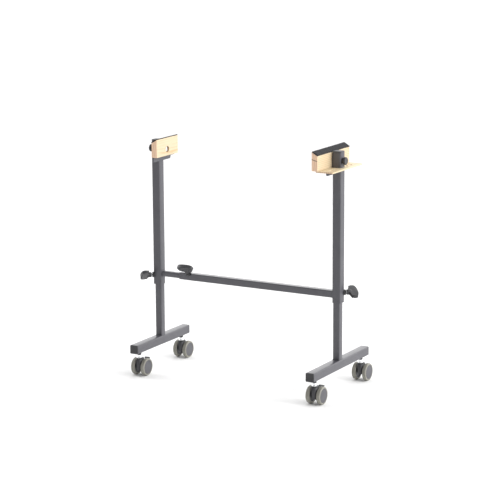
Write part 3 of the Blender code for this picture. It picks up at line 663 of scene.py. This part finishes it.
def pad(side):
    """The felt strip on a block's slope, with soft edges."""
    piece = from_node(f"{side}_rest_pad", "felt", 0.0)
    smooth(piece.data, 50)
    rounded(piece, 0.7 * MM)


# ---------------------------------------------------------------- clamps


def wing_outline():
    """The fan of a wing knob, in its X and Z from the start of its hub."""
    corner = (WING_HALF_SPAN - WING_CORNER_R, WING_CORNER_HEIGHT)
    under = [WING_ROOT, (corner[0], corner[1] - WING_CORNER_R)]
    under += arc(corner, WING_CORNER_R, -75, 0, 4)
    dome = []
    count = 36
    for i in range(count + 1):
        angle = math.pi * i / count
        height = WING_RIM + (KNOB_LENGTH - WING_RIM) * math.sin(angle)
        dome.append((WING_HALF_SPAN * math.cos(angle), height))
    return under + dome + [(-x, z) for x, z in reversed(under)]


def wing_knob(clamp, node):
    """The plastic wing and hub of a clamp knob, and its steel screw."""
    joint = JOINTS[f"{clamp}_height_knob_turn" if clamp in SIDES else "width_knob_turn"]
    place = Vector(joint["pos_m"])
    direction = Vector(joint["axis"]).normalized()
    level = Vector((1, -1, 0)).normalized() if clamp in SIDES else Vector((1, 0, 0))
    upright = direction.cross(level)
    if upright.z < 0:
        upright = -upright
    turn = WING_TURN[clamp]
    across = level * math.cos(turn) + upright * math.sin(turn)
    matrix = along(place, direction, across)
    body = BODY_OF[node]
    stand = Matrix.Rotation(math.radians(90), 4, "X")
    wing = slab_mesh("wing", wing_outline(), WING_THICKNESS, matrix @ stand, WING_EDGE, 5)
    add_piece(f"{node}_wing", wing, "black_plastic", body, node)
    hub = turned_mesh(f"{node}_hub", hub_profile(), matrix, steps=48)
    add_piece(f"{node}_hub", hub, "black_plastic", body)
    add_piece(f"{node}_screw", screw_mesh(node, matrix), "zinc", body)
    nut_collar(clamp, node, matrix)


def hub_profile():
    """The hub of a wing knob, with a shallow socket for the screw."""
    straight, waist, dome, top = KNOB_HUB_HEIGHTS
    inset = KNOB_HUB_R - KNOB_HUB_EDGE
    socket_r = SCREW_R + 0.1 * MM
    profile = [(0, top), (4 * MM, dome), (inset, waist), (KNOB_HUB_R, straight)]
    profile += arc((inset, KNOB_HUB_EDGE), KNOB_HUB_EDGE, 0, -90, 4)
    return profile + [(socket_r, 0), (socket_r, HUB_SOCKET_DEPTH), (0, HUB_SOCKET_DEPTH)]


def nut_collar(clamp, node, matrix):
    """The blackened collar on a clamp nut, round the screw."""
    parent = "crossbar_outer_tube" if clamp == "width" else f"{clamp}_upper_post"
    start = -COLLAR_GAP[clamp]
    bore = SCREW_R + 0.3 * MM
    profile = [(bore, start), (COLLAR_R - COLLAR_EDGE, start), (COLLAR_R, start - COLLAR_EDGE)]
    profile += [(COLLAR_R, start - COLLAR_LENGTH), (bore, start - COLLAR_LENGTH)]
    mesh = turned_mesh(f"{node}_collar", profile, matrix, True, 48)
    add_piece(f"{node}_collar", mesh, "black_plastic", BODY_OF[parent], look="black_steel")


def screw_mesh(node, matrix):
    """The threaded screw of a knob, from inside its hub to its tip."""
    direction = matrix.to_3x3() @ UP
    shape = frame["nodes"][node].data
    origin = matrix.translation
    tip = min((vertex.co - origin).dot(direction) for vertex in shape.vertices)
    root = SCREW_R - THREAD_DEPTH
    profile = [(0, SCREW_START), (root, SCREW_START)]
    height = SCREW_START - SCREW_PITCH / 2
    while height - SCREW_PITCH > tip + 0.6 * MM:
        profile += [(SCREW_R, height), (root, height - SCREW_PITCH / 2)]
        height -= SCREW_PITCH
    profile += [(SCREW_R - 0.4 * MM, tip + 0.5 * MM), (SCREW_R - 1 * MM, tip), (0, tip)]
    return turned_mesh(f"{node}_screw", profile, matrix, steps=32, angle=60)


# ---------------------------------------------------------------- casters


def caster_wheel(name, sign):
    """One wheel: a rounded soft tyre and a nearly flush disc."""
    tyre_node = f"{name}_tyre"
    hub_node = f"{name}_hub"
    low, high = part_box(tyre_node)
    centre = middle_of(tyre_node)
    half = (high.x - low.x) / 2
    radius = (high.z - low.z) / 2
    hub_low, hub_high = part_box(hub_node)
    hub_radius = (hub_high.z - hub_low.z) / 2
    inner = hub_radius + HUB_GAP
    matrix = along(centre, (sign, 0, 0), UP)
    shoulder = TYRE_SHOULDER
    tyre = [(inner, half - 0.5 * MM), (inner + 0.3 * MM, half - 0.1 * MM)]
    tyre += arc((radius - shoulder, half - shoulder), shoulder, 90, 8, 9)
    tyre += [(radius - 0.05 * MM, 0.35 * MM), (radius - 0.3 * MM, 0)]
    tyre += [(radius - 0.05 * MM, -0.35 * MM)]
    tyre += arc((radius - shoulder, -half + shoulder), shoulder, -8, -90, 9)
    tyre += [(inner, -half)]
    mesh = turned_mesh(f"{tyre_node}_fine", tyre, matrix, True, 80, 40)
    add_piece(f"{tyre_node}_fine", mesh, "tread_rubber", BODY_OF[tyre_node], tyre_node)
    face = half - HUB_SETBACK
    bore = HUB_BORE_R
    edge_height = face - HUB_EDGE - 0.1 * MM
    disc = [(0, face), (hub_radius * 0.5, face), (hub_radius - 2 * HUB_EDGE, face - 0.1 * MM)]
    disc += arc((hub_radius - HUB_EDGE, edge_height), HUB_EDGE, 90, 0, 4)
    disc += [(hub_radius, -half + 0.5 * MM), (hub_radius - 2 * MM, -half + 0.5 * MM)]
    disc += [(hub_radius - 3 * MM, -half + 3 * MM), (bore + 3 * MM, -half + 3 * MM)]
    disc += [(bore + 2.4 * MM, -half + 0.6 * MM), (bore, -half + 0.6 * MM)]
    disc += [(bore, half - 3.5 * MM), (0, half - 3.5 * MM)]
    mesh = turned_mesh(f"{hub_node}_fine", disc, matrix)
    add_piece(f"{hub_node}_fine", mesh, "caster_plastic", BODY_OF[hub_node], hub_node)


def caster(side, end):
    """A twin-wheel caster; the front ones have a brake pedal."""
    name = f"{side}_{end}_caster"
    from_node(f"{name}_housing", "caster_plastic", 0.5 * MM, 2, 45, "caster_housing")
    from_node(f"{name}_socket", "black_plastic", 0.3 * MM, 2, 45)
    from_node(f"{name}_stem", "zinc", 0.2 * MM, 2, 45)
    from_node(f"{name}_axle", "zinc", 0.2 * MM, 2, 45)
    if end == "front":
        from_node(f"{name}_brake_pedal", "caster_plastic", 0.6 * MM, 3, 45, "caster_housing")
    swivel_ring(name)
    for wheel, sign in SIDES.items():
        caster_wheel(f"{name}_{wheel}", sign)


def swivel_ring(name):
    """The dark ring round the top of a caster's column, under the bright washer."""
    centre = middle_of(f"{name}_stem")
    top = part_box(f"{name}_housing")[1].z
    matrix = Matrix.Translation((centre.x, centre.y, top))
    outer, inner, base = SWIVEL_RING_R, SWIVEL_RING_INNER_R, -SWIVEL_RING_DEPTH
    profile = [(inner, 0.15 * MM), (outer - 0.6 * MM, 0.15 * MM), (outer, -0.4 * MM)]
    profile += [(outer, base + 0.4 * MM), (outer - 0.5 * MM, base), (inner, base)]
    mesh = turned_mesh(f"{name}_swivel_ring", profile, matrix, True, 48)
    body = BODY_OF[f"{name}_housing"]
    add_piece(f"{name}_swivel_ring", mesh, "black_plastic", body, look="black_steel")


# ---------------------------------------------------------------- trim


def foot_caps(side):
    """The plastic caps in the ends of a foot."""
    for end in ENDS:
        from_node(f"{side}_foot_{end}_cap", "black_plastic", 0.5 * MM)


def post_cap(side):
    """The plastic cap in the top of a post, which is as wide as the foot, and its plug."""
    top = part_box(f"{side}_upper_post")[1].z
    foot_low, foot_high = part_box(f"{side}_foot_tube")
    size = foot_high.x - foot_low.x
    centre_x = (foot_high.x + foot_low.x) / 2
    matrix = Matrix.Translation((centre_x, 0, top + 0.3 * MM + POST_CAP_PLATE / 2))
    outline = rounded_rectangle(size, size, POST_CORNER_R)
    mesh = slab_mesh(f"{side}_post_cap", outline, POST_CAP_PLATE, matrix, POST_CAP_EDGE)
    body = BODY_OF[f"{side}_upper_post"]
    add_piece(f"{side}_post_cap", mesh, "black_plastic", body)
    plug = size - POST_PLUG_SHRINK
    outline = rounded_rectangle(plug, plug, 1 * MM)
    matrix = Matrix.Translation((centre_x, 0, top + 0.2 * MM - POST_PLUG_DEPTH / 2))
    mesh = slab_mesh(f"{side}_post_plug", outline, POST_PLUG_DEPTH, matrix)
    add_piece(f"{side}_post_plug", mesh, "black_plastic", body)


def shelf_screws():
    """The two countersunk screws that hold the shelf to the block."""
    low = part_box("right_shelf")[0]
    x = (low.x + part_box("right_rest_block")[1].x) / 2
    profile = [
        (0, SHELF_SCREW_LENGTH),
        (0.6 * MM, SHELF_SCREW_LENGTH - 1.5 * MM),
        (SHELF_SCREW_R, SHELF_SCREW_LENGTH - 4 * MM),
        (SHELF_SCREW_R, 2.4 * MM),
        (SHELF_SCREW_HEAD_R, 0.6 * MM),
        (SHELF_SCREW_HEAD_R, 0.25 * MM),
        (1.4 * MM, 0.15 * MM),
        (0.5 * MM, 1.2 * MM),
        (0, 1.2 * MM),
    ]
    for end, y in zip(ENDS, SHELF_SCREW_Y):
        matrix = Matrix.Translation((x, y, low.z))
        mesh = turned_mesh(f"shelf_screw_{end}", profile, matrix, steps=32)
        add_piece(f"shelf_screw_{end}", mesh, "zinc", BODY_OF["right_shelf"])


def weld_bead(name, points, body):
    """A rippled bead of weld along a closed row of points."""
    curve = bpy.data.curves.new(name, "CURVE")
    curve.dimensions = "3D"
    curve.bevel_depth = WELD_R
    curve.bevel_resolution = 2
    spline = curve.splines.new("POLY")
    spline.points.add(len(points) - 1)
    for index, (point, place) in enumerate(zip(spline.points, points)):
        point.co = (*place, 1)
        point.radius = 1.0 if index % 2 else 0.8
    spline.use_cyclic_u = True
    source = add_object(name, curve)
    graph = bpy.context.evaluated_depsgraph_get()
    mesh = bpy.data.meshes.new_from_object(source.evaluated_get(graph))
    bpy.data.objects.remove(source)
    smooth(mesh, 80)
    add_piece(name, mesh, "powder_coat", body)


def square_path(size):
    """Evenly spaced points round a square, without its corners."""
    half = size / 2
    count = round(size / WELD_SPACING)
    corners = [(half, -half), (half, half), (-half, half), (-half, -half)]
    points = []
    for (x0, y0), (x1, y1) in zip(corners, corners[1:] + corners[:1]):
        for i in range(1, count):
            part = i / count
            points.append((x0 + (x1 - x0) * part, y0 + (y1 - y0) * part))
    return points


def welds():
    """Beads where a post stands on its foot, and where the crossbar meets the posts."""
    for side, sign in SIDES.items():
        low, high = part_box(f"{side}_lower_post")
        centre = (low + high) / 2
        size = high.x - low.x + 2 * WELD_STANDOFF
        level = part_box(f"{side}_foot_tube")[1].z + 0.5 * MM
        points = [(centre.x + x, centre.y + y, level) for x, y in square_path(size)]
        weld_bead(f"{side}_foot_weld", points, BODY_OF[f"{side}_lower_post"])
        bar = "crossbar_inner_tube" if side == "left" else "crossbar_outer_tube"
        low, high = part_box(bar)
        if side == "left":
            bar_size, end_x = high.y - low.y, low.x
            middle_y, middle_z = (low.y + high.y) / 2, (low.z + high.z) / 2
        else:  # the clamp nut makes this tube's box larger than the tube
            bar_size, end_x = BAR_SIZE, high.x
            middle_y, middle_z = 0.0, low.z + BAR_SIZE / 2
        end_x -= sign * 0.4 * MM
        path = square_path(bar_size + 2 * WELD_STANDOFF)
        points = [(end_x, middle_y + y, middle_z + z) for y, z in path]
        weld_bead(f"{side}_bar_weld", points, BODY_OF[bar])


# ---------------------------------------------------------------- studio


def camera():
    """The camera, which looks down a little from the front right."""
    azimuth, elevation = CAMERA_AZIMUTH, CAMERA_ELEVATION
    right = Vector((math.cos(azimuth), math.sin(azimuth), 0))
    forward = Vector(
        (
            -math.sin(azimuth) * math.cos(elevation),
            math.cos(azimuth) * math.cos(elevation),
            -math.sin(elevation),
        )
    )
    above = right.cross(forward)
    rotation = Matrix((right, above, -forward)).transposed().to_4x4()
    data = bpy.data.cameras.new("camera")
    data.lens = CAMERA_LENS
    data.sensor_width = CAMERA_SENSOR
    data.clip_end = 100
    obj = add_object("camera", data)
    roll = Matrix.Rotation(CAMERA_ROLL, 4, "Z")
    obj.matrix_world = Matrix.Translation(CAMERA_PLACE) @ rotation @ roll
    bpy.context.scene.camera = obj


def area_light(name, place, target, size, power):
    """A rectangular light that faces its target."""
    data = bpy.data.lights.new(name, "AREA")
    data.shape = "RECTANGLE"
    data.size, data.size_y = size
    data.energy = power
    obj = add_object(name, data)
    obj.matrix_world = along(place, Vector(place) - Vector(target))


def room():
    """A glowing room: bright behind the stand and to the right, dim in front.

    Its ceiling is brighter to the rear too, but less so than the walls.
    """
    world = bpy.data.worlds.new("studio")
    bpy.context.scene.world = world
    world.use_nodes = True
    tree = world.node_tree
    toward = axes(tree, texture_vector(tree, "Generated"))
    behind = map_range(tree, toward["Y"], ROOM_FRONT, ROOM_BACK, -1)
    right = map_range(tree, toward["X"], -ROOM_RIGHT, ROOM_RIGHT, -1)
    walls = math_node(tree, "MAXIMUM", math_node(tree, "ADD", behind, right), 0.0)
    above = math_node(tree, "DIVIDE", toward["Z"], CEILING_HEIGHT)
    shares = map_range(tree, above, 0, 1)
    ceiling = map_range(tree, toward["Y"], CEILING_FRONT, CEILING_BACK, -1)
    level = mix(tree, shares, walls, ceiling)
    background = tree.nodes["Background"]
    background.inputs["Color"].default_value = (1, 1, 1, 1)
    tree.links.new(level, background.inputs["Strength"])


def studio():
    """A pale floor in a glowing room, and a soft light on either side."""
    room()
    material, tree, shader = new_material("floor", 0.9, 0.0, 0.1)
    speck = noise(tree, coordinates(tree), 6, 2)
    colour = ramp(tree, speck, (0.3, 0.93), (0.7, 0.95))
    tree.links.new(colour, shader.inputs["Base Color"])
    mesh = bpy.data.meshes.new("floor")
    shape = bmesh.new()
    bmesh.ops.create_grid(shape, x_segments=1, y_segments=1, size=FLOOR_SIZE)
    shape.to_mesh(mesh)
    shape.free()
    mesh.materials.append(material)
    floor = add_object("floor", mesh)
    for name, settings in LIGHTS.items():
        area_light(name, *settings)
    bpy.context.scene.view_settings.view_transform = "Standard"


def build():
    """The whole stand, its camera and its studio."""
    steelwork()
    woodwork()
    bolts()
    welds()
    for side, sign in SIDES.items():
        block_knob(side, sign)
        pad(side)
        post_cap(side)
        foot_caps(side)
        wing_knob(side, f"{side}_post_wing_knob")
        for end in ENDS:
            caster(side, end)
    wing_knob("width", "crossbar_wing_knob")
    shelf_screws()
    camera()
    studio()


build()
